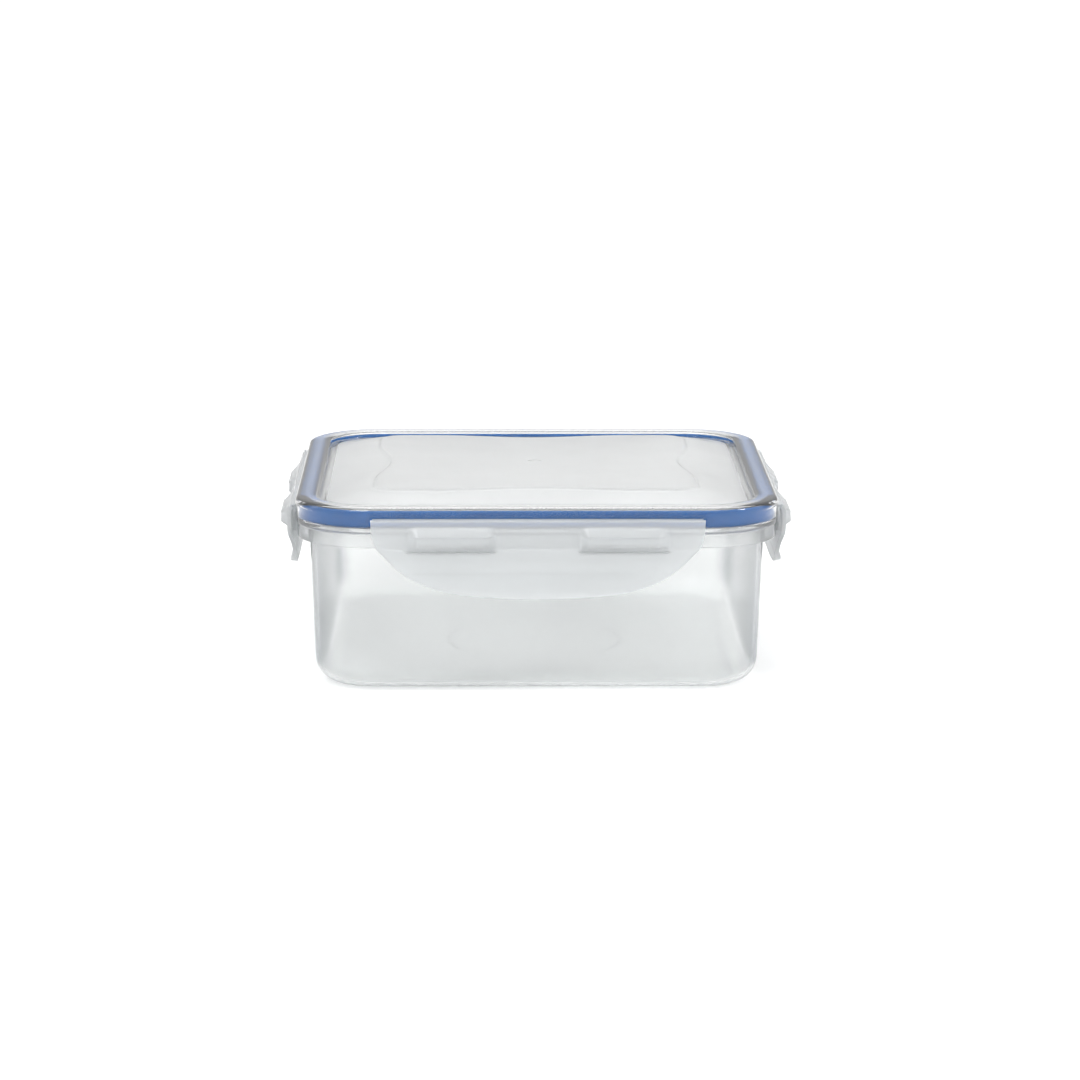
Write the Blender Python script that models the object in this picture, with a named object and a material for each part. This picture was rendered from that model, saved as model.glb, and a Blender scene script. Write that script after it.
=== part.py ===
"""Square snap lid food container: clear tub, lid with a seal in its rim, four snap flaps on living hinges."""
import math

import bmesh
import bpy
from mathutils import Matrix, Vector

MM = 0.001

# Overall, in millimetres. A half width is measured from the middle of the container to a straight side.
RIM_TOP = 61.8
CORNER_CENTRE = 53.2
CORNER_STEPS = 9

# Tub
WALL = 1.4
TUB_FOOT = 72.5
TUB_FILLET = 8.0
WALL_OUT_AT_FLANGE = 74.3
FLANGE_TOP = RIM_TOP - 6.9
FLANGE_THICK = 1.5
COLLAR_BOTTOM = RIM_TOP - 13.4
COLLAR_STEP = RIM_TOP - 8.7
COLLAR_UPPER = 78.6
COLLAR_LOWER = 78.2
COLLAR_THICK = 1.2
LIP_OUT = 75.3
LIP_IN = 73.9
LIP_TOP = RIM_TOP - 3.7
FOOT_RING_RADIUS = 28.8
FOOT_RING_WIDTH = 1.2
FOOT_RING_DEPTH = 0.4
CATCH_REACH = 0.3
CATCH_TOP = RIM_TOP - 9.6
CATCH_HEIGHT = 1.6

# Lid
SKIRT_OUT = 78.8
SKIRT_IN = 77.5
SKIRT_BOTTOM = RIM_TOP - 6.5
RIM_ROUND = 1.8
RIM_THICK = 1.4
RIM_INNER = 71.1
RIM_INNER_ROUND = 0.9
SEAL_WALL_OUT = 72.2
SEAL_WALL_BOTTOM = RIM_TOP - 5.5
PANEL_TOP = RIM_TOP - 2.2
PANEL_THICK = 1.4
PAD_TOP = RIM_TOP + 1.5
PAD_WAIST = 48.5
PAD_CORNER = 53.0
PAD_CORNER_ROUND = 6.0
PAD_FOOT = RIM_TOP + 0.7
PAD_STEP_WIDTH = 1.4
PANEL_SLOPE = 14.0
PAD_HOLLOW_INSET = 0.6
GATE_RADIUS = 1.6
GATE_DEPTH = 0.3

# Seal in the rim channel
SEAL_OUT = 77.1
SEAL_IN = 72.6
SEAL_TOP = RIM_TOP - 1.8
SEAL_BOTTOM = RIM_TOP - 6.2
SEAL_GROOVE_OUT = 75.7
SEAL_GROOVE_IN = 73.5
SEAL_GROOVE_TOP = RIM_TOP - 3.3

# Snap flaps and their living hinges
FLAP_HALF_WIDTH = 53.7
FLAP_TOP = RIM_TOP - 4.4
FLAP_THICK = 1.3
HINGE_AXIS_OUT = 79.1
HINGE_AXIS_Z = RIM_TOP - 4.3
HINGE_REACH = 0.6
HINGE_THICK = 0.4
SKIRT_RELIEF_OUT = 78.0
SKIRT_RELIEF_BOTTOM = RIM_TOP - 4.0
POCKET_NEAR = 13.0
POCKET_FAR = 42.8
POCKET_END_SLOPE = 2.8
POCKET_TOP = 5.6
POCKET_CREASE = 9.3
POCKET_RIDGE_LOW = 12.1
POCKET_FOOT = 13.4
POCKET_CREASE_OUT = 84.1
POCKET_RIDGE_OUT = 84.4

for old in list(bpy.data.objects):
    bpy.data.objects.remove(old, do_unlink=True)

container = bpy.data.collections.new("snap_lid_container")
cutters = bpy.data.collections.new("cutters")
bpy.context.scene.collection.children.link(container)
bpy.context.scene.collection.children.link(cutters)


def material(name, colour, roughness, alpha=1.0):
    mat = bpy.data.materials.new(name)
    mat.use_nodes = True
    shader = mat.node_tree.nodes["Principled BSDF"]
    shader.inputs["Base Color"].default_value = (*colour, 1.0)
    shader.inputs["Roughness"].default_value = roughness
    shader.inputs["Metallic"].default_value = 0.0
    shader.inputs["Alpha"].default_value = alpha
    return mat


def finish(bm, name, mat, origin=(0.0, 0.0, 0.0), sharp=35.0):
    """Turns a bmesh in millimetres into a named, smooth shaded object in metres, with its own origin."""
    bmesh.ops.remove_doubles(bm, verts=bm.verts, dist=0.001)
    bmesh.ops.recalc_face_normals(bm, faces=bm.faces)
    bmesh.ops.translate(bm, vec=-Vector(origin), verts=bm.verts)
    bmesh.ops.scale(bm, vec=(MM, MM, MM), verts=bm.verts)
    mesh = bpy.data.meshes.new(name)
    bm.to_mesh(mesh)
    bm.free()
    mesh.shade_smooth()
    mesh.set_sharp_from_angle(angle=math.radians(sharp))
    obj = bpy.data.objects.new(name, mesh)
    obj.location = Vector(origin) * MM
    container.objects.link(obj)
    if mat is not None:
        mesh.materials.append(mat)
    return obj


def as_cutter(obj):
    container.objects.unlink(obj)
    cutters.objects.link(obj)
    obj.hide_render = True
    obj.display_type = "WIRE"
    return obj


def boolean(obj, operation, tool):
    mod = obj.modifiers.new(operation.lower(), "BOOLEAN")
    mod.operation = operation
    mod.solver = "EXACT"
    mod.object = tool


def sweep_round_square(profile, closed):
    """Carries a profile of (half width, height) points once round a square with round corners."""
    bm = bmesh.new()
    c = CORNER_CENTRE
    verts = [bm.verts.new((h, -c, z)) for h, z in profile]
    edges = [bm.edges.new(pair) for pair in zip(verts[:-1], verts[1:])]
    if closed:
        edges.append(bm.edges.new((verts[-1], verts[0])))
    front = verts + edges
    for side in range(4):
        turn = math.radians(90.0 * side)
        along = Vector((-math.sin(turn), math.cos(turn), 0.0)) * (2.0 * c)
        run = bmesh.ops.extrude_edge_only(bm, edges=[g for g in front if isinstance(g, bmesh.types.BMEdge)])
        moved = [g for g in run["geom"] if isinstance(g, bmesh.types.BMVert)]
        bmesh.ops.translate(bm, vec=along, verts=moved)
        front = [g for g in run["geom"] if not isinstance(g, bmesh.types.BMFace)]
        corner = Matrix.Rotation(turn, 3, "Z") @ Vector((c, c, 0.0))
        spun = bmesh.ops.spin(bm, geom=front, cent=corner, axis=(0.0, 0.0, 1.0),
                              angle=math.radians(90.0), steps=CORNER_STEPS, use_duplicate=False)
        front = spun["geom_last"]
    bmesh.ops.remove_doubles(bm, verts=bm.verts, dist=0.001)
    if not closed:
        rims = [e for e in bm.edges if e.is_boundary]
        bmesh.ops.holes_fill(bm, edges=rims, sides=0)
    return bm


def arc(cx, cz, radius, start, end, steps):
    """Points on an arc in the profile plane, angles in degrees from outward."""
    points = []
    for i in range(steps + 1):
        a = math.radians(start + (end - start) * i / steps)
        points.append((cx + radius * math.cos(a), cz + radius * math.sin(a)))
    return points


def prism(outline, axis, low, high):
    """A solid from a closed outline, drawn in the plane across the axis, between two distances along it."""
    bm = bmesh.new()
    verts = []
    for a, b in outline:
        verts.append(bm.verts.new((low, a, b) if axis == "X" else (a, low, b)))
    face = bm.faces.new(verts)
    run = bmesh.ops.extrude_face_region(bm, geom=[face])
    moved = [g for g in run["geom"] if isinstance(g, bmesh.types.BMVert)]
    step = (high - low, 0.0, 0.0) if axis == "X" else (0.0, high - low, 0.0)
    bmesh.ops.translate(bm, vec=step, verts=moved)
    return bm


def block(low, high):
    """A plain box between two corners."""
    bm = bmesh.new()
    bmesh.ops.create_cube(bm, size=1.0)
    size = [b - a for a, b in zip(low, high)]
    middle = [(a + b) / 2.0 for a, b in zip(low, high)]
    bmesh.ops.scale(bm, vec=size, verts=bm.verts)
    bmesh.ops.translate(bm, vec=middle, verts=bm.verts)
    return bm


def join(parts):
    """Puts several separate bmeshes into one."""
    whole = bmesh.new()
    for part in parts:
        mesh = bpy.data.meshes.new("part")
        part.to_mesh(mesh)
        part.free()
        whole.from_mesh(mesh)
        bpy.data.meshes.remove(mesh)
    return whole


def around(bm, side):
    """Turns a piece drawn for the front side to one of the four sides."""
    turn = Matrix.Rotation(math.radians(90.0 * side), 3, "Z")
    bmesh.ops.rotate(bm, cent=(0.0, 0.0, 0.0), matrix=turn, verts=bm.verts)
    return bm


# Tub: one clear moulding, walls with draft, a turned down collar under the lid, a lip that enters the seal.
clear_pp = material("clear_polypropylene", (0.80, 0.84, 0.86), 0.12, 0.35)
outer_foot = arc(TUB_FOOT - TUB_FILLET, TUB_FILLET, TUB_FILLET, -90.0, 0.0, 6)
inner_foot = arc(TUB_FOOT - TUB_FILLET, TUB_FILLET, TUB_FILLET - WALL, 0.0, -90.0, 6)
tub_profile = outer_foot + [
    (WALL_OUT_AT_FLANGE, FLANGE_TOP - FLANGE_THICK),
    (COLLAR_LOWER - COLLAR_THICK, FLANGE_TOP - FLANGE_THICK),
    (COLLAR_LOWER - COLLAR_THICK, COLLAR_BOTTOM),
    (COLLAR_LOWER - 0.2, COLLAR_BOTTOM),
    (COLLAR_LOWER, COLLAR_BOTTOM + 0.2),
    (COLLAR_LOWER, COLLAR_STEP - 0.3),
    (COLLAR_UPPER, COLLAR_STEP),
    (COLLAR_UPPER, FLANGE_TOP - 0.4),
    (COLLAR_UPPER - 0.4, FLANGE_TOP),
    (LIP_OUT, FLANGE_TOP),
    (LIP_OUT, LIP_TOP - 0.4),
    (LIP_OUT - 0.3, LIP_TOP),
    (LIP_IN + 0.3, LIP_TOP),
    (LIP_IN, LIP_TOP - 0.4),
    (LIP_IN, FLANGE_TOP + 0.6),
    (WALL_OUT_AT_FLANGE - WALL, FLANGE_TOP - 0.8),
] + inner_foot
tub = finish(sweep_round_square(tub_profile, False), "tub", clear_pp)

ring_cut = bmesh.new()
bmesh.ops.create_circle(ring_cut, cap_ends=False, segments=40, radius=FOOT_RING_RADIUS)
ring_run = bmesh.ops.extrude_edge_only(ring_cut, edges=ring_cut.edges)
ring_top = [g for g in ring_run["geom"] if isinstance(g, bmesh.types.BMVert)]
grow = (FOOT_RING_RADIUS + FOOT_RING_WIDTH) / FOOT_RING_RADIUS
bmesh.ops.scale(ring_cut, vec=(grow, grow, 1.0), verts=ring_top)
ring_tall = bmesh.ops.extrude_face_region(ring_cut, geom=list(ring_cut.faces))
ring_up = [g for g in ring_tall["geom"] if isinstance(g, bmesh.types.BMVert)]
bmesh.ops.translate(ring_cut, vec=(0.0, 0.0, -1.0), verts=ring_cut.verts)
bmesh.ops.translate(ring_cut, vec=(0.0, 0.0, 1.0 + FOOT_RING_DEPTH), verts=ring_up)
boolean(tub, "DIFFERENCE", as_cutter(finish(ring_cut, "foot_ring_cut", None)))

# Two catches on each side of the collar, one inside each pocket of the flap.
for side, name in enumerate(("front", "right", "back", "left")):
    ribs = []
    for sign in (-1.0, 1.0):
        near = sign * (POCKET_NEAR + 4.5)
        far = sign * (POCKET_FAR - 4.5)
        outline = [
            (-(COLLAR_LOWER - 0.6), CATCH_TOP),
            (-(COLLAR_LOWER), CATCH_TOP),
            (-(COLLAR_LOWER + CATCH_REACH), CATCH_TOP - CATCH_HEIGHT + 0.5),
            (-(COLLAR_LOWER + CATCH_REACH), CATCH_TOP - CATCH_HEIGHT),
            (-(COLLAR_LOWER - 0.6), CATCH_TOP - CATCH_HEIGHT),
        ]
        ribs.append(prism(outline, "X", min(near, far), max(near, far)))
    boolean(tub, "UNION", as_cutter(finish(around(join(ribs), side), "catches_" + name, None)))

# Lid: frosted moulding with a raised round rim, a panel that slopes up gently from the foot of the rim,
# and a low pad with drawn in sides in its middle.
frosted_pp = material("frosted_polypropylene", (0.82, 0.84, 0.86), 0.42, 0.55)
rim_edge = arc(SKIRT_OUT - RIM_ROUND, RIM_TOP - RIM_ROUND, RIM_ROUND, 0.0, 90.0, 4)
rim_inside = arc(RIM_INNER + RIM_INNER_ROUND, RIM_TOP - RIM_INNER_ROUND, RIM_INNER_ROUND, 90.0, 180.0, 3)
lid_profile = [
    (RIM_INNER - 1.5, PANEL_TOP - PANEL_THICK),
    (RIM_INNER, PANEL_TOP - PANEL_THICK),
    (RIM_INNER, SEAL_WALL_BOTTOM + 0.3),
    (RIM_INNER + 0.3, SEAL_WALL_BOTTOM),
    (SEAL_WALL_OUT - 0.3, SEAL_WALL_BOTTOM),
    (SEAL_WALL_OUT, SEAL_WALL_BOTTOM + 0.3),
    (SEAL_WALL_OUT, RIM_TOP - RIM_THICK),
    (SKIRT_IN, RIM_TOP - RIM_THICK),
    (SKIRT_IN, SKIRT_BOTTOM),
    (SKIRT_OUT - 0.2, SKIRT_BOTTOM),
    (SKIRT_OUT, SKIRT_BOTTOM + 0.2),
] + rim_edge + rim_inside + [
    (RIM_INNER, PANEL_TOP + 0.5),
    (RIM_INNER - 0.5, PANEL_TOP),
]
lid = finish(sweep_round_square(lid_profile, False), "lid", frosted_pp)


def pad_outline(waist, corner, corner_round, side_steps=8, corner_steps=4):
    """A square with hollow sides and round corners, as a list of (x, y) points."""
    # The hollow side is an arc through (waist, 0) and (corner, corner - corner_round).
    half = corner - corner_round
    sag = corner - waist
    radius = (half * half + sag * sag) / (2.0 * sag)
    reach = math.asin(half / radius)
    quarter = []
    for i in range(side_steps + 1):
        a = -reach + 2.0 * reach * i / side_steps
        quarter.append((waist + radius - radius * math.cos(a), radius * math.sin(a)))
    for i in range(1, corner_steps):
        a = math.radians(90.0 * i / corner_steps)
        quarter.append((half + corner_round * math.cos(a), half + corner_round * math.sin(a)))
    points = []
    for side in range(4):
        t = math.radians(90.0 * side)
        for x, y in quarter:
            points.append((x * math.cos(t) - y * math.sin(t), x * math.sin(t) + y * math.cos(t)))
    return points


def pad_block(levels):
    """The pad as a solid that narrows upwards; each level is (height, how far it is grown)."""
    bm = bmesh.new()
    rings = []
    for z, out in levels:
        outline = pad_outline(PAD_WAIST + out, PAD_CORNER + out, PAD_CORNER_ROUND + out)
        ring = [bm.verts.new((x, y, z)) for x, y in outline]
        rings.append([bm.edges.new((ring[i - 1], ring[i])) for i in range(len(ring))])
    for below, above in zip(rings[:-1], rings[1:]):
        bmesh.ops.bridge_loops(bm, edges=below + above)
    bmesh.ops.holes_fill(bm, edges=rings[0] + rings[-1], sides=0)
    return bm


pad_sunk = 0.3
foot_grown = PAD_STEP_WIDTH + PANEL_SLOPE * (1.0 + pad_sunk / (PAD_FOOT - PANEL_TOP))
levels = ((PANEL_TOP - pad_sunk, foot_grown), (PAD_FOOT, PAD_STEP_WIDTH), (PAD_TOP, 0.0))
boolean(lid, "UNION", as_cutter(finish(pad_block(levels), "pad", None)))
hollow = [(z - PANEL_THICK, out - PAD_HOLLOW_INSET) for z, out in levels]
boolean(lid, "DIFFERENCE", as_cutter(finish(pad_block(hollow), "pad_hollow", None)))
gate = bmesh.new()
bmesh.ops.create_cone(gate, cap_ends=True, segments=16, radius1=GATE_RADIUS, radius2=GATE_RADIUS, depth=2.0)
bmesh.ops.translate(gate, vec=(0.0, 0.0, PAD_TOP + 1.0 - GATE_DEPTH), verts=gate.verts)
boolean(lid, "DIFFERENCE", as_cutter(finish(gate, "gate_dimple", None)))

# The skirt is shorter and set back along each flap, so that the flap can hang from it.
for side, name in enumerate(("front", "right", "back", "left")):
    reach = FLAP_HALF_WIDTH + 1.0
    below = block((-reach, -(SKIRT_OUT + 2.0), SKIRT_BOTTOM - 1.0),
                  (reach, -(SKIRT_IN - 0.2), SKIRT_RELIEF_BOTTOM))
    boolean(lid, "DIFFERENCE", as_cutter(finish(around(below, side), "skirt_gap_" + name, None)))
    setback = block((-reach, -(SKIRT_OUT + 2.0), SKIRT_RELIEF_BOTTOM - 1.0),
                    (reach, -SKIRT_RELIEF_OUT, RIM_TOP - RIM_ROUND))
    boolean(lid, "DIFFERENCE", as_cutter(finish(around(setback, side), "skirt_setback_" + name, None)))

# Seal: a blue silicone ring in the rim channel, with a groove that takes the lip of the tub.
silicone = material("blue_silicone", (0.045, 0.16, 0.46), 0.5)
seal_profile = [
    (SEAL_OUT, SEAL_BOTTOM + 0.3),
    (SEAL_OUT, SEAL_TOP - 0.4),
    (SEAL_OUT - 0.4, SEAL_TOP),
    (SEAL_IN + 0.4, SEAL_TOP),
    (SEAL_IN, SEAL_TOP - 0.4),
    (SEAL_IN, SEAL_BOTTOM + 0.3),
    (SEAL_IN + 0.3, SEAL_BOTTOM),
    (SEAL_GROOVE_IN, SEAL_BOTTOM),
    (SEAL_GROOVE_IN, SEAL_GROOVE_TOP),
    (SEAL_GROOVE_OUT, SEAL_GROOVE_TOP),
    (SEAL_GROOVE_OUT, SEAL_BOTTOM),
    (SEAL_OUT - 0.3, SEAL_BOTTOM),
]
finish(sweep_round_square(seal_profile, True), "gasket", silicone)

# Flaps: the outer face as (distance below the rim top, distance out); the inner face is one thickness in.
FLAP_FACE = (
    (4.4, 80.8),
    (4.9, 81.3),
    (6.0, 81.5),
    (12.7, 81.6),
    (15.0, 81.2),
    (17.5, 80.5),
    (20.0, 80.2),
    (21.6, 80.3),
    (23.0, 80.9),
    (26.0, 81.5),
    (29.2, 81.9),
)
# Half width of the flap at distances below the rim top, from its square shoulders to its curved lower edge.
FLAP_EDGE = (
    (4.0, 53.7),
    (8.4, 53.2),
    (12.7, 51.9),
    (15.3, 49.7),
    (18.9, 46.4),
    (22.5, 41.6),
    (25.5, 35.1),
    (27.6, 27.1),
    (28.6, 18.0),
    (29.1, 9.0),
    (29.2, 0.0),
)


def flap_body():
    outer = [(-out, RIM_TOP - drop) for drop, out in FLAP_FACE]
    inner = [(-(out - FLAP_THICK), RIM_TOP - drop) for drop, out in FLAP_FACE[1:]]
    inner = [(-(HINGE_AXIS_OUT + HINGE_REACH + 0.3), FLAP_TOP)] + inner
    return prism(outer + inner[::-1], "X", -FLAP_HALF_WIDTH - 1.0, FLAP_HALF_WIDTH + 1.0)


def flap_trim():
    right = [(half, RIM_TOP - drop) for drop, half in FLAP_EDGE]
    left = [(-half, height) for half, height in right[:-1]]
    return prism(right + left[::-1], "Y", -90.0, -74.0)


def pocket_block(sign, inset, back):
    """One pocket of a flap: a wedge with a gentle upper face, a short lower face and sloping ends."""
    foot_near = POCKET_NEAR + inset
    foot_far = POCKET_FAR - inset
    top_near = POCKET_NEAR + POCKET_END_SLOPE + inset
    top_far = POCKET_FAR - POCKET_END_SLOPE - inset
    bm = bmesh.new()
    rings = []
    for near, far, points in (
        (foot_near, foot_far, ((back, POCKET_TOP + inset), (back, POCKET_FOOT - inset))),
        (top_near, top_far, ((POCKET_CREASE_OUT - inset, POCKET_CREASE + inset * 0.3),
                             (POCKET_RIDGE_OUT - inset, POCKET_RIDGE_LOW - inset * 0.6))),
    ):
        (out_a, drop_a), (out_b, drop_b) = points
        corners = [(near, out_a, drop_a), (far, out_a, drop_a), (far, out_b, drop_b), (near, out_b, drop_b)]
        ring = [bm.verts.new((sign * u, -out, RIM_TOP - drop)) for u, out, drop in corners]
        rings.append([bm.edges.new((ring[i - 1], ring[i])) for i in range(4)])
    bmesh.ops.bridge_loops(bm, edges=rings[0] + rings[1])
    bmesh.ops.holes_fill(bm, edges=rings[0] + rings[1], sides=0)
    return bm


for side, name in enumerate(("front", "right", "back", "left")):
    flap_pp = material("frosted_flap_" + name, (0.82, 0.84, 0.86), 0.42, 0.55)
    turn = Matrix.Rotation(math.radians(90.0 * side), 3, "Z")
    axis_point = turn @ Vector((0.0, -HINGE_AXIS_OUT, HINGE_AXIS_Z))
    flap = finish(around(flap_body(), side), "flap_" + name, flap_pp, axis_point)
    boolean(flap, "INTERSECT", as_cutter(finish(around(flap_trim(), side), "flap_outline_" + name, None)))
    bulges = join([pocket_block(s, 0.0, 81.4) for s in (-1.0, 1.0)])
    boolean(flap, "UNION", as_cutter(finish(around(bulges, side), "pockets_" + name, None)))
    hollows = join([pocket_block(s, FLAP_THICK, 79.6) for s in (-1.0, 1.0)])
    boolean(flap, "DIFFERENCE", as_cutter(finish(around(hollows, side), "pocket_hollows_" + name, None)))

# Living hinges: the thin bending web between the skirt of the lid and each flap.
for side, name in enumerate(("front", "right", "back", "left")):
    web_pp = material("hinge_web_" + name, (0.82, 0.84, 0.86), 0.4, 0.55)
    web = block(
        (-FLAP_HALF_WIDTH + 0.5, -(HINGE_AXIS_OUT + HINGE_REACH), HINGE_AXIS_Z - HINGE_THICK / 2.0),
        (FLAP_HALF_WIDTH - 0.5, -(HINGE_AXIS_OUT - HINGE_REACH), HINGE_AXIS_Z + HINGE_THICK / 2.0))
    bmesh.ops.bevel(web, geom=[e for e in web.edges if abs((e.verts[0].co - e.verts[1].co).x) > 1.0],
                    affect="EDGES", offset=0.1, segments=1, profile=0.5, material=-1)
    finish(around(web, side), "hinge_" + name, web_pp)
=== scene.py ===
"""Looks of the square snap lid food container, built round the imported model."""

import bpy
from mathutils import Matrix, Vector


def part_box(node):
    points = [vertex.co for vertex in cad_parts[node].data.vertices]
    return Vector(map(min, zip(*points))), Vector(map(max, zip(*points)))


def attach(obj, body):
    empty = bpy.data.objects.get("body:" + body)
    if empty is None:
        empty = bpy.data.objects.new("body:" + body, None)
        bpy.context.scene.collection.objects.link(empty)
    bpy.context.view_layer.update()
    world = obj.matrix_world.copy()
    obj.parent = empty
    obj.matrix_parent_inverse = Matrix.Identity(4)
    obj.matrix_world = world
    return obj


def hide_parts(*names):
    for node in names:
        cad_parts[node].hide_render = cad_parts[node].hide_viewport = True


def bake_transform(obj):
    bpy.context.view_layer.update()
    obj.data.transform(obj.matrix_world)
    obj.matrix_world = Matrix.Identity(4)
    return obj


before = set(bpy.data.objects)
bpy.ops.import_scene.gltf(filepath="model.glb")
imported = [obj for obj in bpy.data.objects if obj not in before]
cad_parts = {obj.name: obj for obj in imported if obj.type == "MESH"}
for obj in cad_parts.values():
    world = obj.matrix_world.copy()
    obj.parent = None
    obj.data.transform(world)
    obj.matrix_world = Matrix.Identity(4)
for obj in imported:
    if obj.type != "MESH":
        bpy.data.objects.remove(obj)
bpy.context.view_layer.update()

import math

import bmesh
import bpy
from mathutils import Matrix, Vector

MM = 0.001

# Tub. One injection moulding of clear polypropylene, 1.4 mm thick: straight walls with a little draft,
# a turned down collar that the flaps lock under, and a thin lip that goes up into the seal.
# Every round square of the container shares the four corner centres, so its rings differ by one number.
CORNER_CENTRE = 53.2
CORNER_STEPS = 22
RIM_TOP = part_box("lid")[1][2] / MM - 1.5
WALL = 1.4
FOOT_HALF = 72.5
FOOT_ROUND = 8.0
WALL_TOP_HALF = 74.3
FLANGE_TOP = RIM_TOP - 6.9
COLLAR_BOTTOM = RIM_TOP - 13.4
COLLAR_STEP = RIM_TOP - 8.7
COLLAR_HALF = 78.6
COLLAR_LOW_HALF = 78.2
COLLAR_WALL = 1.2
LIP_TOP = RIM_TOP - 3.7
LIP_HALF = 75.3
LIP_INNER = 73.9
FOOT_RING_RADIUS = 28.8
FOOT_RING_WIDTH = 1.0
FOOT_RING_DEPTH = 0.4
FOOT_RING_SLOPE = 0.25
FOOT_RING_SUPPORT = 0.4
MERGE = 0.0005


def arc(across, height, radius, start, end, steps):
    """Profile points on an arc; the angles are in degrees, from outward towards up."""
    turns = [math.radians(start + (end - start) * i / steps) for i in range(steps + 1)]
    return [(across + radius * math.cos(t), height + radius * math.sin(t)) for t in turns]


def place_ring(verts, index, profile, centre, angle):
    """Puts one ring of profile points in the upright plane that leaves a corner centre at an angle."""
    out = Vector((math.cos(angle), math.sin(angle), 0.0))
    for v in verts:
        half, height = profile[v[index]]
        v.co = centre + out * (half - CORNER_CENTRE) + Vector((0.0, 0.0, height))


def sweep_round_square(stations, closed):
    """Draws a profile round the four sides. Stations are (share of the corner turned, profile) on one corner,
    and the first and last of them bound the straight side between two corners."""
    bm = bmesh.new()
    index = bm.verts.layers.int.new("profile")
    first = stations[0][1]
    ring = [bm.verts.new((0.0, 0.0, 0.0)) for _ in first]
    for number, v in enumerate(ring):
        v[index] = number
    edges = [bm.edges.new(pair) for pair in zip(ring[:-1], ring[1:])]
    if closed:
        edges.append(bm.edges.new((ring[-1], ring[0])))
    placed = False
    for side in range(4):
        quarter = math.radians(90.0 * side)
        turn = Matrix.Rotation(quarter, 3, "Z")
        centre = turn @ Vector((CORNER_CENTRE, CORNER_CENTRE, 0.0))
        for share, profile in stations:
            if placed:
                run = bmesh.ops.extrude_edge_only(bm, edges=edges)
                ring = [g for g in run["geom"] if isinstance(g, bmesh.types.BMVert)]
                edges = [g for g in run["geom"] if isinstance(g, bmesh.types.BMEdge)]
            place_ring(ring, index, profile, centre, quarter + math.radians(90.0 * share))
            placed = True
    run = bmesh.ops.extrude_edge_only(bm, edges=edges)
    last = [g for g in run["geom"] if isinstance(g, bmesh.types.BMVert)]
    start = Vector((CORNER_CENTRE, CORNER_CENTRE, 0.0))
    place_ring(last, index, first, start, math.radians(90.0 * stations[0][0]))
    bmesh.ops.remove_doubles(bm, verts=bm.verts, dist=MERGE)
    bmesh.ops.dissolve_degenerate(bm, dist=0.2 * MERGE, edges=bm.edges)
    return bm


def corner(profile):
    """Even stations right round one corner."""
    return [(i / CORNER_STEPS, profile) for i in range(CORNER_STEPS + 1)]


def boundary_loop(bm, height):
    """The open edges at one height."""
    return [e for e in bm.edges if e.is_boundary and abs(e.verts[0].co.z - height) < 0.01]


def turn_about_z(v):
    """The direction of a point seen from above, for putting the points of a loop in order."""
    return math.atan2(v[1], v[0])


def close_inwards(bm, edges, rings):
    """Closes a round opening with rings of (x, y, z) inside each other. The last ring is filled."""
    for points in rings:
        run = bmesh.ops.extrude_edge_only(bm, edges=edges)
        inner = [g for g in run["geom"] if isinstance(g, bmesh.types.BMVert)]
        inner.sort(key=lambda v: turn_about_z(v.co))
        for v, point in zip(inner, sorted(points, key=turn_about_z), strict=True):
            v.co = point
        edges = [g for g in run["geom"] if isinstance(g, bmesh.types.BMEdge)]
    bmesh.ops.holes_fill(bm, edges=edges, sides=0)


def piece(bm, name, materials, body, sharp=38.0):
    """Finishes a bmesh drawn in millimetres as a smooth shaded piece that rides on a body."""
    bmesh.ops.recalc_face_normals(bm, faces=bm.faces)
    bmesh.ops.scale(bm, vec=(MM, MM, MM), verts=bm.verts)
    mesh = bpy.data.meshes.new(name)
    bm.to_mesh(mesh)
    bm.free()
    mesh.shade_smooth()
    mesh.set_sharp_from_angle(angle=math.radians(sharp))
    for mat in materials:
        mesh.materials.append(mat)
    obj = bpy.data.objects.new(name, mesh)
    bpy.context.scene.collection.objects.link(obj)
    if body is not None:
        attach(obj, body)
    return obj


def linear(code):
    """An sRGB hex colour as a linear colour with full alpha."""
    values = [int(code[i:i + 2], 16) / 255.0 for i in (1, 3, 5)]
    return (*[v / 12.92 if v <= 0.04045 else ((v + 0.055) / 1.055) ** 2.4 for v in values], 1.0)


def add(tree, kind, inputs=(), **settings):
    """Adds a node; inputs maps socket names or numbers to values or to sockets that feed them."""
    node = tree.nodes.new(kind)
    for key, value in settings.items():
        setattr(node, key, value)
    for key, value in dict(inputs).items():
        if isinstance(value, bpy.types.NodeSocket):
            tree.links.new(value, node.inputs[key])
        else:
            node.inputs[key].default_value = value
    return node


def new_material(name):
    """An empty node material and its output node."""
    mat = bpy.data.materials.new(name)
    mat.use_nodes = True
    mat.node_tree.nodes.clear()
    return mat, mat.node_tree, mat.node_tree.nodes.new("ShaderNodeOutputMaterial")


def per_metre(size_mm):
    """Noise scale that gives features of about this size, since Object coordinates are in metres."""
    return 1.0 / (size_mm * MM)


def let_light_in(tree, shader, tint):
    """Lamps reach what is behind or inside this plastic, as they do through a real thin wall."""
    path = add(tree, "ShaderNodeLightPath")
    see_through = add(tree, "ShaderNodeBsdfTransparent", {"Color": linear(tint)})
    inputs = {0: path.outputs["Is Shadow Ray"], 1: shader.outputs[0], 2: see_through.outputs[0]}
    return add(tree, "ShaderNodeMixShader", inputs).outputs[0]


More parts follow.
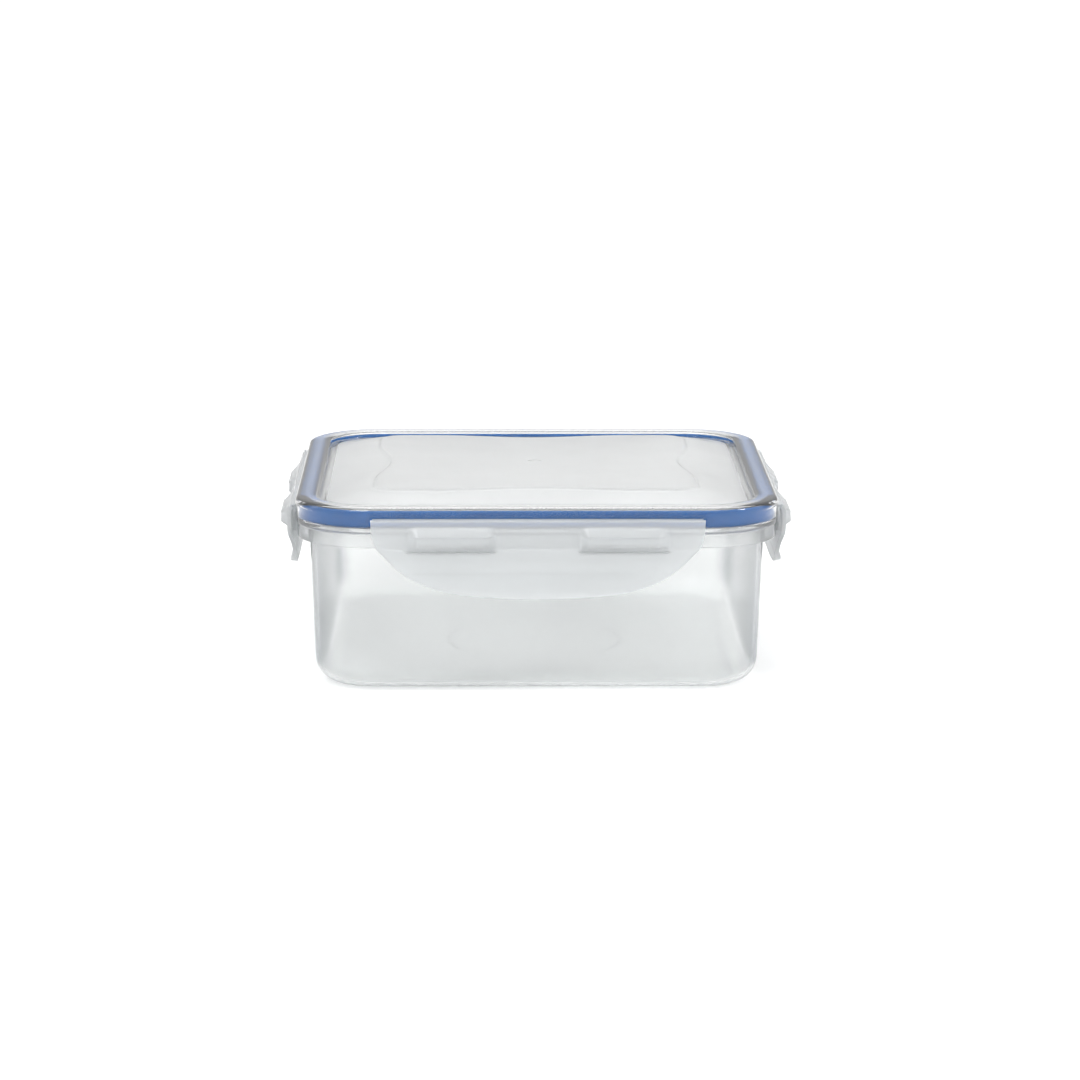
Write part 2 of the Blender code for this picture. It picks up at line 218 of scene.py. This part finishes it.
def clear_polypropylene():
    """Natural polypropylene from a polished mould: see-through with a faint grey milkiness,
    long soft flow waves of the melt, and a fine haze that varies a little over the wall."""
    mat, tree, out = new_material("clear_moulded_polypropylene")
    where = add(tree, "ShaderNodeTexCoord").outputs["Object"]
    flow = add(tree, "ShaderNodeTexNoise", {"Vector": where, "Scale": per_metre(24.0), "Detail": 2.0})
    haze = add(tree, "ShaderNodeTexNoise", {"Vector": where, "Scale": per_metre(6.0), "Detail": 4.0})
    rough = add(tree, "ShaderNodeMapRange", {"Value": haze.outputs[0], 3: 0.05, 4: 0.10})
    bump = add(tree, "ShaderNodeBump", {"Height": flow.outputs[0], "Strength": 0.15, "Distance": 0.0004})
    # Painted shade: an upright wall seen edge on is given a darker colour, standing in for the dim
    # surroundings it bends in. Level faces keep their colour.
    normal = add(tree, "ShaderNodeNewGeometry").outputs["Normal"]
    axes = add(tree, "ShaderNodeSeparateXYZ", {"Vector": normal})
    level = add(tree, "ShaderNodeMath", {0: axes.outputs[2]}, operation="ABSOLUTE").outputs[0]
    painted_edge_shade = add(tree, "ShaderNodeLayerWeight", {"Blend": 0.5}).outputs["Facing"]
    painted_edge_shade = add(tree, "ShaderNodeMapRange", {"Value": painted_edge_shade, 1: 0.25, 2: 0.72}).outputs[0]
    painted_edge_shade = add(tree, "ShaderNodeMapRange", {"Value": level, 1: 0.0, 2: 0.5, 3: painted_edge_shade, 4: 0.0}).outputs[0]
    tint = add(tree, "ShaderNodeMix", {"Factor": painted_edge_shade, 6: linear("#f0f1f1"), 7: linear("#56626b")},
               data_type="RGBA")
    shader = add(tree, "ShaderNodeBsdfPrincipled", {
        "Base Color": tint.outputs[2], "Transmission Weight": 0.88, "IOR": 1.49,
        "Roughness": rough.outputs[0], "Normal": bump.outputs[0]})
    tree.links.new(let_light_in(tree, shader, "#eeefef"), out.inputs["Surface"])
    return mat


foot_out = arc(FOOT_HALF - FOOT_ROUND, FOOT_ROUND, FOOT_ROUND, -90.0, 2.0, 10)
foot_in = arc(FOOT_HALF - FOOT_ROUND, FOOT_ROUND, FOOT_ROUND - WALL, 2.0, -90.0, 10)
flange_low = FLANGE_TOP - 1.5
tub_profile = (
    foot_out
    + arc(WALL_TOP_HALF + 0.6, flange_low - 0.6, 0.6, 180.0, 90.0, 3)
    + arc(COLLAR_LOW_HALF - COLLAR_WALL - 0.5, flange_low - 0.5, 0.5, 90.0, 0.0, 3)
    + arc(COLLAR_LOW_HALF - COLLAR_WALL + 0.3, COLLAR_BOTTOM + 0.3, 0.3, 180.0, 270.0, 2)
    + arc(COLLAR_LOW_HALF - 0.4, COLLAR_BOTTOM + 0.4, 0.4, -90.0, 0.0, 3)
    + arc(COLLAR_LOW_HALF, COLLAR_STEP - 0.5, 0.1, -90.0, 90.0, 1)
    + arc(COLLAR_HALF - 0.25, COLLAR_STEP + 0.25, 0.25, -90.0, 0.0, 3)
    + arc(COLLAR_HALF - 0.35, FLANGE_TOP - 0.35, 0.35, 0.0, 90.0, 3)
    + arc(LIP_HALF + 0.4, FLANGE_TOP + 0.4, 0.4, 270.0, 180.0, 3)
    + arc(LIP_HALF - 0.5, LIP_TOP - 0.5, 0.5, 0.0, 90.0, 3)
    + arc(LIP_INNER + 0.5, LIP_TOP - 0.5, 0.5, 90.0, 180.0, 3)
    + arc(LIP_INNER - 0.9, FLANGE_TOP + 1.0, 0.9, 0.0, -40.0, 3)
    + [(WALL_TOP_HALF - WALL, FLANGE_TOP - 1.6)]
    + foot_in
)
tub = sweep_round_square(corner(tub_profile), False)


def circle(radius, height, count):
    """Points of a circle, half a step away from the axes so that each quarter has as many."""
    turns = [math.tau * (i + 0.5) / count for i in range(count)]
    return [(radius * math.cos(t), radius * math.sin(t), height) for t in turns]


ring_points = 4 * (CORNER_STEPS + 1)
close_inwards(tub, boundary_loop(tub, 0.0), [
    circle(FOOT_RING_RADIUS + out, height, ring_points) for out, height in (
        (FOOT_RING_WIDTH + FOOT_RING_SUPPORT, 0.0), (FOOT_RING_WIDTH, 0.0),
        (FOOT_RING_WIDTH - FOOT_RING_SLOPE, FOOT_RING_DEPTH), (FOOT_RING_SLOPE, FOOT_RING_DEPTH),
        (0.0, 0.0), (-FOOT_RING_SUPPORT, 0.0))])
close_inwards(tub, boundary_loop(tub, WALL), [circle(FOOT_RING_RADIUS, WALL, ring_points)])
tub_piece = piece(tub, "tub_moulding", [clear_polypropylene()], "tub")
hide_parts("tub")

# Seal. A blue silicone ring pressed into the rim channel of the lid, 5 mm wide, with a groove underneath
# that closes on the lip of the tub. Its edges are soft, and its surface is dull.
SEAL_OUT = 77.3
SEAL_IN = 72.3
SEAL_TOP = RIM_TOP - 1.55
SEAL_BOTTOM = RIM_TOP - 6.5
SEAL_GROOVE_TOP = RIM_TOP - 3.3
SEAL_GROOVE_IN = 73.4
SEAL_GROOVE_OUT = 75.8
SEAL_TOP_ROUND = 0.6
SEAL_ROUND = 0.4
SEAL_GROOVE_ROUND = 0.5


def blue_silicone():
    """Compression moulded silicone rubber: strong blue and satin, with a fine grain and slight clouds."""
    mat, tree, out = new_material("blue_silicone_rubber")
    where = add(tree, "ShaderNodeTexCoord").outputs["Object"]
    grain = add(tree, "ShaderNodeTexNoise", {"Vector": where, "Scale": per_metre(0.5), "Detail": 3.0})
    cloud = add(tree, "ShaderNodeTexNoise", {"Vector": where, "Scale": per_metre(14.0), "Detail": 2.0})
    tint = add(tree, "ShaderNodeValToRGB", {"Fac": cloud.outputs[0]})
    for stop, code, position in zip(tint.color_ramp.elements, ("#1462ab", "#1968b2"), (0.3, 0.7)):
        stop.color = linear(code)
        stop.position = position
    rough = add(tree, "ShaderNodeMapRange", {"Value": grain.outputs[0], 3: 0.42, 4: 0.55})
    bump = add(tree, "ShaderNodeBump", {"Height": grain.outputs[0], "Strength": 0.2, "Distance": 0.00005})
    shader = add(tree, "ShaderNodeBsdfPrincipled", {
        "Base Color": tint.outputs[0], "Roughness": rough.outputs[0], "IOR": 1.41, "Specular IOR Level": 0.2,
        "Normal": bump.outputs[0]})
    tree.links.new(shader.outputs[0], out.inputs["Surface"])
    return mat


seal_profile = (
    arc(SEAL_OUT - SEAL_TOP_ROUND, SEAL_TOP - SEAL_TOP_ROUND, SEAL_TOP_ROUND, 0.0, 90.0, 4)
    + arc(SEAL_IN + SEAL_TOP_ROUND, SEAL_TOP - SEAL_TOP_ROUND, SEAL_TOP_ROUND, 90.0, 180.0, 4)
    + arc(SEAL_IN + SEAL_ROUND, SEAL_BOTTOM + SEAL_ROUND, SEAL_ROUND, 180.0, 270.0, 3)
    + [(SEAL_GROOVE_IN, SEAL_BOTTOM)]
    + arc(SEAL_GROOVE_IN + SEAL_GROOVE_ROUND, SEAL_GROOVE_TOP - SEAL_ROUND, SEAL_ROUND, 180.0, 90.0, 2)
    + arc(SEAL_GROOVE_OUT - SEAL_GROOVE_ROUND, SEAL_GROOVE_TOP - SEAL_ROUND, SEAL_ROUND, 90.0, 0.0, 2)
    + [(SEAL_GROOVE_OUT, SEAL_BOTTOM)]
    + arc(SEAL_OUT - SEAL_ROUND, SEAL_BOTTOM + SEAL_ROUND, SEAL_ROUND, -90.0, 0.0, 3)
)
seal = sweep_round_square(corner(seal_profile), True)
seal_piece = piece(seal, "seal_ring", [blue_silicone()], "lid")
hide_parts("gasket")

# Lid. One frosted polypropylene moulding: a polished rim with a channel for the seal, a skirt outside it, a
# sunk panel and a low pad with drawn-in sides. The skirt is cut back along each flap, which hangs from it.
SKIRT_HALF = 78.8
SKIRT_INNER = 77.5
SKIRT_BOTTOM = RIM_TOP - 6.5
RIM_ROUND = 1.8
PARTING = RIM_TOP - 2.6
RIM_THICK = 1.4
CROWN = 0.32
CROWN_TILT = 12.2
RIM_INNER = 71.1
RIM_INNER_ROUND = 0.5
SEAL_WALL_OUT = 72.2
SEAL_WALL_BOTTOM = RIM_TOP - 5.5
PANEL_TOP = RIM_TOP - 2.2
PANEL_THICK = 1.4
PANEL_EDGE = RIM_INNER - 1.2
RELIEF_HALF = 78.0
RELIEF_BOTTOM = RIM_TOP - 4.0
RELIEF_SHARE = 0.02
PAD_TOP = RIM_TOP + 1.5
PAD_FOOT = RIM_TOP + 0.7
PAD_WAIST = 48.0
PAD_LOBE = 52.6
PAD_WAIST_REACH = 34.0
PAD_CORNER_ROUND = 7.0
PAD_STEP_WIDTH = 1.4
PAD_SIDE_STEPS = 19
PAD_CORNER_STEPS = 6
GATE_RADIUS = 2.2
GATE_SINK = 0.25
POLISH_START = 68.4
POLISH_FULL = 69.4


# The top of the rim is slightly crowned between its two rounded edges.
crown_side = math.sin(math.radians(CROWN_TILT))
crown_drop = math.cos(math.radians(CROWN_TILT))
crown_end = RIM_TOP - CROWN
outer_round = arc(SKIRT_HALF - RIM_ROUND, crown_end - RIM_ROUND * crown_drop, RIM_ROUND,
                  0.0, 90.0 - CROWN_TILT, 8)
inner_round = arc(RIM_INNER + RIM_INNER_ROUND, crown_end - RIM_INNER_ROUND * crown_drop, RIM_INNER_ROUND,
                  90.0 + CROWN_TILT, 180.0, 6)
crown_out = SKIRT_HALF - RIM_ROUND * (1.0 - crown_side)
crown_in = RIM_INNER + RIM_INNER_ROUND * (1.0 - crown_side)
crown = [(crown_out + (crown_in - crown_out) * i / 8.0, RIM_TOP - CROWN * (i / 4.0 - 1.0) ** 2)
         for i in range(1, 8)]


def lid_profile(skirt_half, skirt_bottom):
    """The rim of the lid from the underside of the panel, over the rim, to the top of the panel."""
    return (
        [(PANEL_EDGE, PANEL_TOP - PANEL_THICK), (RIM_INNER - 0.3, PANEL_TOP - PANEL_THICK)]
        + arc(RIM_INNER + 0.3, SEAL_WALL_BOTTOM + 0.3, 0.3, 180.0, 270.0, 2)
        + arc(SEAL_WALL_OUT - 0.3, SEAL_WALL_BOTTOM + 0.3, 0.3, -90.0, 0.0, 2)
        + [(SEAL_WALL_OUT, RIM_TOP - RIM_THICK), (SKIRT_INNER, RIM_TOP - RIM_THICK)]
        + [(SKIRT_INNER, skirt_bottom)]
        + arc(skirt_half - 0.2, skirt_bottom + 0.2, 0.2, -90.0, 0.0, 2)
        + [(skirt_half, PARTING - 0.3), (skirt_half, PARTING - 0.15), (SKIRT_HALF + 0.08, PARTING)]
        + [(SKIRT_HALF, PARTING + 0.15)]
        + outer_round + crown + inner_round
        + arc(RIM_INNER - 0.4, PANEL_TOP + 0.4, 0.4, 0.0, -90.0, 3)
        + [(PANEL_EDGE, PANEL_TOP)]
    )


full_skirt = lid_profile(SKIRT_HALF, SKIRT_BOTTOM)
cut_skirt = lid_profile(RELIEF_HALF, RELIEF_BOTTOM)
turning = [(RELIEF_SHARE + (1.0 - 2.0 * RELIEF_SHARE) * i / CORNER_STEPS, full_skirt)
           for i in range(CORNER_STEPS + 1)]
lid = sweep_round_square([(0.0, cut_skirt), (RELIEF_SHARE, cut_skirt), *turning,
                          (1.0 - RELIEF_SHARE, cut_skirt), (1.0, cut_skirt)], False)


def pad_ring(grow, height):
    """The outline of the pad, grown outwards: sides drawn in at the middle, and round corners."""
    points = []
    for side in range(4):
        turn = Matrix.Rotation(math.radians(90.0 * side), 3, "Z")
        half = PAD_LOBE - PAD_CORNER_ROUND
        for i in range(PAD_SIDE_STEPS + 1):
            along = (2.0 * i / PAD_SIDE_STEPS - 1.0) * half
            draw = 0.5 + 0.5 * math.cos(math.pi * min(abs(along) / PAD_WAIST_REACH, 1.0))
            points.append(turn @ Vector((PAD_LOBE - (PAD_LOBE - PAD_WAIST) * draw + grow, along, height)))
        for i in range(1, PAD_CORNER_STEPS):
            t = math.radians(90.0 * i / PAD_CORNER_STEPS)
            reach = PAD_CORNER_ROUND + grow
            points.append(turn @ Vector((half + reach * math.cos(t), half + reach * math.sin(t), height)))
    return points


def reach_of_round_square(half, angle):
    """How far a round square lies from the middle in a direction."""
    along, across = sorted((abs(math.cos(angle)), abs(math.sin(angle))))
    if half * along / across <= CORNER_CENTRE:
        return half / across
    towards = CORNER_CENTRE * (along + across)
    return towards + math.sqrt(towards ** 2 - 2.0 * CORNER_CENTRE ** 2 + (half - CORNER_CENTRE) ** 2)


def panel_rings(lift, grow):
    """Rings from the foot of the rim, up the gently sloped panel, over the low step to the flat pad."""
    near = pad_ring(PAD_STEP_WIDTH + grow, 0.0)
    outer = []
    for point in near:
        angle = turn_about_z(point)
        reach = reach_of_round_square(PANEL_EDGE - 0.5, angle)
        outer.append(Vector((reach * math.cos(angle), reach * math.sin(angle), 0.0)))
    rings = []
    for share in (0.0, 0.08, 0.2, 0.35, 0.5, 0.65, 0.8, 0.92, 1.0):
        climb = (PAD_FOOT - PANEL_TOP) * share * share * (3.0 - 2.0 * share)
        height = Vector((0.0, 0.0, lift + PANEL_TOP + climb))
        rings.append([o.lerp(n, share) + height for o, n in zip(outer, near, strict=True)])
    for out, share in ((0.8, 0.12), (0.6, 0.35), (0.4, 0.65), (0.2, 0.88), (0.0, 0.98), (-0.3, 1.0)):
        rings.append(pad_ring(PAD_STEP_WIDTH * out + grow, lift + PAD_FOOT + (PAD_TOP - PAD_FOOT) * share))
    return rings


top_rings = panel_rings(0.0, 0.0)
for ring_out, ring_sink in ((0.6, 0.0), (0.15, 0.0), (-0.15, GATE_SINK), (-0.4, GATE_SINK)):
    top_rings.append(circle(GATE_RADIUS + ring_out, PAD_TOP - ring_sink, len(top_rings[0])))
close_inwards(lid, boundary_loop(lid, PANEL_TOP), top_rings)
close_inwards(lid, boundary_loop(lid, PANEL_TOP - PANEL_THICK), panel_rings(-PANEL_THICK, -0.6))


def frosted_polypropylene(name, polished_rim):
    """Natural polypropylene from a spark eroded mould: the fine grain scatters light, so the wall looks like
    frosted glass, and a thing shows through only where it nearly touches. The lid's rim is left polished."""
    mat, tree, out = new_material(name)
    where = add(tree, "ShaderNodeTexCoord").outputs["Object"]
    grain = add(tree, "ShaderNodeTexNoise", {"Vector": where, "Scale": per_metre(0.7), "Detail": 3.0})
    cloud = add(tree, "ShaderNodeTexNoise", {"Vector": where, "Scale": per_metre(18.0), "Detail": 2.0})
    rough = add(tree, "ShaderNodeMapRange", {"Value": cloud.outputs[0], 3: 0.30, 4: 0.38}).outputs[0]
    if polished_rim:
        mirrored = add(tree, "ShaderNodeVectorMath", {0: where}, operation="ABSOLUTE").outputs[0]
        centre = (CORNER_CENTRE * MM, CORNER_CENTRE * MM, 1.0)
        past = add(tree, "ShaderNodeVectorMath", {0: mirrored, 1: centre}, operation="SUBTRACT").outputs[0]
        origin = (0.0, 0.0, 0.0)
        past = add(tree, "ShaderNodeVectorMath", {0: past, 1: origin}, operation="MAXIMUM").outputs[0]
        past = add(tree, "ShaderNodeVectorMath", {0: past}, operation="LENGTH").outputs["Value"]
        edge = add(tree, "ShaderNodeMapRange", {
            "Value": past, 1: (POLISH_START - CORNER_CENTRE) * MM, 2: (POLISH_FULL - CORNER_CENTRE) * MM})
        rough = add(tree, "ShaderNodeMix", {"Factor": edge.outputs[0], "A": rough, "B": 0.06}).outputs[0]
    bump = add(tree, "ShaderNodeBump", {"Height": grain.outputs[0], "Strength": 0.25, "Distance": 0.00004})
    if polished_rim:
        smooth = add(tree, "ShaderNodeMapRange", {"Value": edge.outputs[0], 3: 0.25, 4: 0.01})
        tree.links.new(smooth.outputs[0], bump.inputs["Strength"])
        clear = add(tree, "ShaderNodeMapRange", {"Value": edge.outputs[0], 3: 0.85, 4: 1.0})
    # Painted shade: the flaps get a slightly darker colour than the lid, though both are the same plastic,
    # because their upright faces are less lit.
    shader = add(tree, "ShaderNodeBsdfPrincipled", {
        "Base Color": linear("#edeeee" if polished_rim else "#e8eaeb"),
        "Transmission Weight": 0.84 if polished_rim else 0.77, "IOR": 1.49,
        "Roughness": rough, "Normal": bump.outputs[0]})
    if polished_rim:
        tree.links.new(clear.outputs[0], shader.inputs["Transmission Weight"])
    tree.links.new(let_light_in(tree, shader, "#d8d9d9"), out.inputs["Surface"])
    return mat


lid_plastic = frosted_polypropylene("frosted_polypropylene_lid", True)
lid_piece = piece(lid, "lid_moulding", [lid_plastic], "lid")
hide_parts("lid")

# Snap flaps. Four plates of the lid moulding, 1.3 mm thick, one along each side. Each has two hollow pockets
# that lock under the collar of the tub, a waist under them and a curved lower edge turned out for a finger.
SIDES = ("front", "right", "back", "left")
FLAP_WALL = 1.3
POCKET_FOOT = 14.6
FLAP_END = 53.7
# The wall grows thicker on the inside towards the lower edge, as a lip for a finger.
FLAP_LIP = 1.0
LIP_START = 21.0
LIP_FULL = 27.0
FLAP_EDGE_ROUND = 0.3
# Rows of the sheet below the pockets, and the half width within which its columns keep their places.
ROWS_BELOW = 18
STRAIGHT_HALF = 43.0
# Distance out from the middle of the container, at distances below the rim top.
FLAP_FACE = (
    (3.75, 80.25), (4.1, 80.7), (4.7, 81.1), (5.6, 81.42), (9.3, 81.6), (13.4, 81.5), (15.0, 81.2),
    (17.5, 80.5), (20.0, 80.2), (21.6, 80.3), (23.0, 80.9), (26.0, 81.5), (29.2, 81.9))
# Half width at distances below the rim top, down the curved lower edge.
FLAP_EDGE = (
    (3.75, 53.7), (8.4, 53.2), (12.7, 51.9), (15.3, 49.7), (18.9, 46.4), (22.5, 41.6), (25.5, 35.1),
    (27.6, 27.1), (28.6, 18.0), (29.1, 9.0), (29.2, 0.0))
# Columns and rows of the sheet, closer together where a pocket folds.
POCKET_COLUMNS = (
    13.2, 13.6, 14.4, 15.4, 16.2, 16.8, 20.0, 24.0, 28.0, 32.0, 36.0, 38.1, 38.7, 39.8, 41.2, 41.9, 42.4)
# Distance below the rim top, and how far a pocket and the two fine beads stand out there.
POCKET_ROWS = (
    (3.75, 0.0, 0.0), (3.9, 0.0, 0.0), (4.1, 0.0, 0.0), (4.4, 0.0, 0.0), (4.8, 0.0, 0.0), (5.3, 0.0, 0.0),
    (5.7, 0.05, 0.0), (6.2, 0.35, 0.0), (7.3, 1.25, 0.0), (8.3, 2.1, 0.0), (8.55, 2.3, 0.0),
    (8.75, 2.45, 0.26), (8.95, 2.5, 0.26), (9.15, 2.53, 0.0), (9.5, 2.55, 0.0), (10.6, 2.65, 0.0),
    (11.6, 2.73, 0.0), (11.95, 2.68, 0.0), (12.25, 2.45, 0.0), (12.6, 1.95, 0.0), (13.2, 0.95, 0.0),
    (13.6, 0.3, 0.0), (13.8, 0.08, 0.0), (13.9, 0.0, 0.0), (14.0, 0.0, 0.26), (14.2, 0.0, 0.26),
    (14.35, 0.0, 0.0), (14.6, 0.0, 0.0))
POCKET_NEAR = 13.2
POCKET_FAR = 42.4
POCKET_NEAR_SLOPE = 3.0
POCKET_FAR_SLOPE = 3.7


def smooth_between(table, x):
    """Reads a table of (x, y) with a smooth curve through its points."""
    x = min(max(x, table[0][0]), table[-1][0])
    last = len(table) - 2
    k = next((i for i in range(last + 1) if x <= table[i + 1][0]), last)
    (x0, y0), (x1, y1) = table[k], table[k + 1]
    before, after = table[max(k - 1, 0)], table[min(k + 2, len(table) - 1)]
    m0 = (y1 - before[1]) / (x1 - before[0])
    m1 = (after[1] - y0) / (after[0] - x0)
    span = x1 - x0
    t = (x - x0) / span
    return (y0 * (1 + 2 * t) * (1 - t) ** 2 + m0 * span * t * (1 - t) ** 2
            + y1 * t * t * (3 - 2 * t) + m1 * span * t * t * (t - 1))


def pull_in(u, widest):
    """Moves a column outside the pockets in, so that the outermost one lands on the edge of the flap."""
    if abs(u) <= STRAIGHT_HALF:
        return u
    share = (widest - STRAIGHT_HALF) / (FLAP_END - STRAIGHT_HALF)
    return math.copysign(STRAIGHT_HALF + (abs(u) - STRAIGHT_HALF) * share, u)


def flap_sheet():
    """The outer face of the front flap as an open grid, with its pockets pushed out."""
    right = [0.0, 4.0, 8.0, 11.5, 12.8, *POCKET_COLUMNS,
             STRAIGHT_HALF, 44.5, 46.5, 48.5, 50.2, 51.5, 52.6, 53.3, FLAP_END]
    columns = [-u for u in right[:0:-1]] + right
    rows = len(POCKET_ROWS) + ROWS_BELOW
    bm = bmesh.new()
    bmesh.ops.create_grid(bm, x_segments=len(columns) - 1, y_segments=rows - 1, size=1.0)
    edge_drop = [(u, drop) for drop, u in FLAP_EDGE[::-1]]
    for v in bm.verts:
        column = round((v.co.x + 1.0) / 2.0 * (len(columns) - 1))
        row = round((1.0 - v.co.y) / 2.0 * (rows - 1))
        u, push = columns[column], 0.0
        if row < len(POCKET_ROWS):
            drop, push, bead = POCKET_ROWS[row]
            u = pull_in(u, smooth_between(FLAP_EDGE, drop))
            near = (abs(u) - POCKET_NEAR) / POCKET_NEAR_SLOPE
            far = (POCKET_FAR - abs(u)) / POCKET_FAR_SLOPE
            lift = min(max(min(near, far), 0.0), 1.0)
            on_bead = lift >= 1.0 if push else lift > 0.0
            push = push * lift * lift * (3.0 - 2.0 * lift) + (bead if on_bead else 0.0)
        else:
            u = pull_in(u, smooth_between(FLAP_EDGE, POCKET_FOOT))
            share = (row - len(POCKET_ROWS) + 1) / ROWS_BELOW
            deepest = max(smooth_between(edge_drop, abs(u)), POCKET_FOOT)
            drop = POCKET_FOOT + (deepest - POCKET_FOOT) * share
        v.co = Vector((u, -(smooth_between(FLAP_FACE, drop) + push), RIM_TOP - drop))
    bmesh.ops.remove_doubles(bm, verts=bm.verts, dist=0.02)
    return bm


def flap(side):
    """One flap: the sheet given its wall, its edges rounded, turned to its side of the container."""
    bm = flap_sheet()
    bmesh.ops.recalc_face_normals(bm, faces=bm.faces)
    if sum(f.normal.y * f.calc_area() for f in bm.faces) > 0.0:
        bmesh.ops.reverse_faces(bm, faces=bm.faces)
    bmesh.ops.solidify(bm, geom=list(bm.faces), thickness=FLAP_WALL)
    for v in bm.verts:
        drop = RIM_TOP - v.co.z
        if smooth_between(FLAP_FACE, drop) + v.co.y > FLAP_WALL / 2.0:
            v.co.y += FLAP_LIP * smooth_between(((LIP_START, 0.0), (LIP_FULL, 1.0)), drop)
    rim = [e for e in bm.edges if len(e.link_faces) == 2 and e.calc_face_angle(0.0) > math.radians(60.0)]
    bmesh.ops.bevel(bm, geom=rim, affect="EDGES", offset=FLAP_EDGE_ROUND, segments=2, profile=0.5,
                    material=-1, clamp_overlap=True)
    turn = Matrix.Rotation(math.radians(90.0 * side), 3, "Z")
    bmesh.ops.rotate(bm, cent=(0.0, 0.0, 0.0), matrix=turn, verts=bm.verts)
    return bm


flap_plastic = frosted_polypropylene("frosted_polypropylene_flap", False)
for side, name in enumerate(SIDES):
    flap_piece = piece(flap(side), "snap_flap_" + name, [flap_plastic], "flap_" + name, sharp=50.0)
    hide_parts("flap_" + name)

# Living hinges. The web of polypropylene, 0.4 mm thick, left between the skirt and a flap in the same
# moulding, drawn as a flat strip that rides on no body.
HINGE_TOP = 3.75
HINGE_WALL = 0.4
HINGE_START = 77.9
HINGE_END = 80.4
HINGE_HALF = 53.0

for side, name in enumerate(SIDES):
    web = bmesh.new()
    bmesh.ops.create_grid(web, x_segments=24, y_segments=10, size=1.0)
    for v in web.verts:
        reach = HINGE_START + (HINGE_END - HINGE_START) * (1.0 - v.co.y) / 2.0
        v.co = Vector((v.co.x * HINGE_HALF, -reach, RIM_TOP - HINGE_TOP))
    bmesh.ops.recalc_face_normals(web, faces=web.faces)
    bmesh.ops.solidify(web, geom=list(web.faces), thickness=HINGE_WALL)
    highest = max(v.co.z for v in web.verts)
    bmesh.ops.translate(web, vec=(0.0, 0.0, RIM_TOP - HINGE_TOP - highest), verts=web.verts)
    turn = Matrix.Rotation(math.radians(90.0 * side), 3, "Z")
    bmesh.ops.rotate(web, cent=(0.0, 0.0, 0.0), matrix=turn, verts=web.verts)
    web_piece = piece(web, "hinge_web_" + name, [flap_plastic], None)
    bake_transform(web_piece)
    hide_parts("hinge_" + name)

# Floor. A plain pale table top with a matt painted surface, far larger than the view. It isn't part of
# the container, which stands a hair above it.
TABLE_HALF = 12000.0
TABLE_GAP = 0.05

floor = bmesh.new()
bmesh.ops.create_grid(floor, x_segments=1, y_segments=1, size=TABLE_HALF)
bmesh.ops.translate(floor, vec=(0.0, 0.0, -TABLE_GAP), verts=floor.verts)
table_mat, table_tree, table_out = new_material("pale_matt_paint")
table_shader = add(table_tree, "ShaderNodeBsdfPrincipled", {
    "Base Color": linear("#fcfcfc"), "Roughness": 0.8})
table_tree.links.new(table_shader.outputs[0], table_out.inputs["Surface"])
table_top = piece(floor, "table_top", [table_mat], None)

# Light. A bright even room, brighter overhead than at the horizon, and three soft boxes:
# one in front on the left, one above and behind, and a smaller one on the right.
world = bpy.data.worlds.new("soft_room")
bpy.context.scene.world = world
world.use_nodes = True
room = world.node_tree
room.nodes.clear()
look = add(room, "ShaderNodeTexCoord").outputs["Generated"]
split = add(room, "ShaderNodeSeparateXYZ", {"Vector": look})
dome = add(room, "ShaderNodeMapRange", {"Value": split.outputs[2], 1: 0.1, 2: 0.5, 3: 0.74, 4: 1.17},
           interpolation_type="SMOOTHSTEP")
backdrop = add(room, "ShaderNodeBackground", {"Color": (1.0, 1.0, 1.0, 1.0), "Strength": dome.outputs[0]})
add(room, "ShaderNodeOutputWorld", {"Surface": backdrop.outputs[0]})


def soft_lamp(name, place, target, size, power):
    """A square soft box at a place in metres, turned to a target."""
    lamp = bpy.data.lights.new(name, "AREA")
    lamp.shape = "SQUARE"
    lamp.size = size
    lamp.energy = power
    obj = bpy.data.objects.new(name, lamp)
    obj.location = place
    obj.rotation_euler = (Vector(target) - Vector(place)).to_track_quat("-Z", "Y").to_euler()
    bpy.context.scene.collection.objects.link(obj)


soft_lamp("key_soft_box", (-0.5, -0.9, 1.3), (0.0, 0.0, 0.04), 0.5, 7.0)
soft_lamp("overhead_soft_box", (0.15, 0.75, 1.3), (0.0, 0.0, 0.05), 0.6, 1.6)
soft_lamp("side_soft_box", (1.0, -0.35, 0.9), (0.0, 0.0, 0.04), 0.18, 3.5)

# Camera. A long lens, a little above the container and slightly left of its middle, looking down by
# eleven degrees. The lens is given for a frame of 1080 units across.
LENS_PX = 3878.4
FRAME_PX = 1080.0
SENSOR_MM = 36.0
camera_data = bpy.data.cameras.new("camera")
camera_data.sensor_width = SENSOR_MM
camera_data.lens = LENS_PX / FRAME_PX * SENSOR_MM
camera_data.shift_x = 0.0472
camera_data.clip_start = 0.05
camera_data.clip_end = 60.0
camera = bpy.data.objects.new("camera", camera_data)
camera.location = (-0.0189, -1.2979, RIM_TOP * MM + 0.2287)
camera.rotation_euler = (math.radians(90.0 - 11.10), 0.0, math.radians(-0.154))
bpy.context.scene.collection.objects.link(camera)
bpy.context.scene.camera = camera
bpy.context.scene.view_settings.view_transform = "Standard"
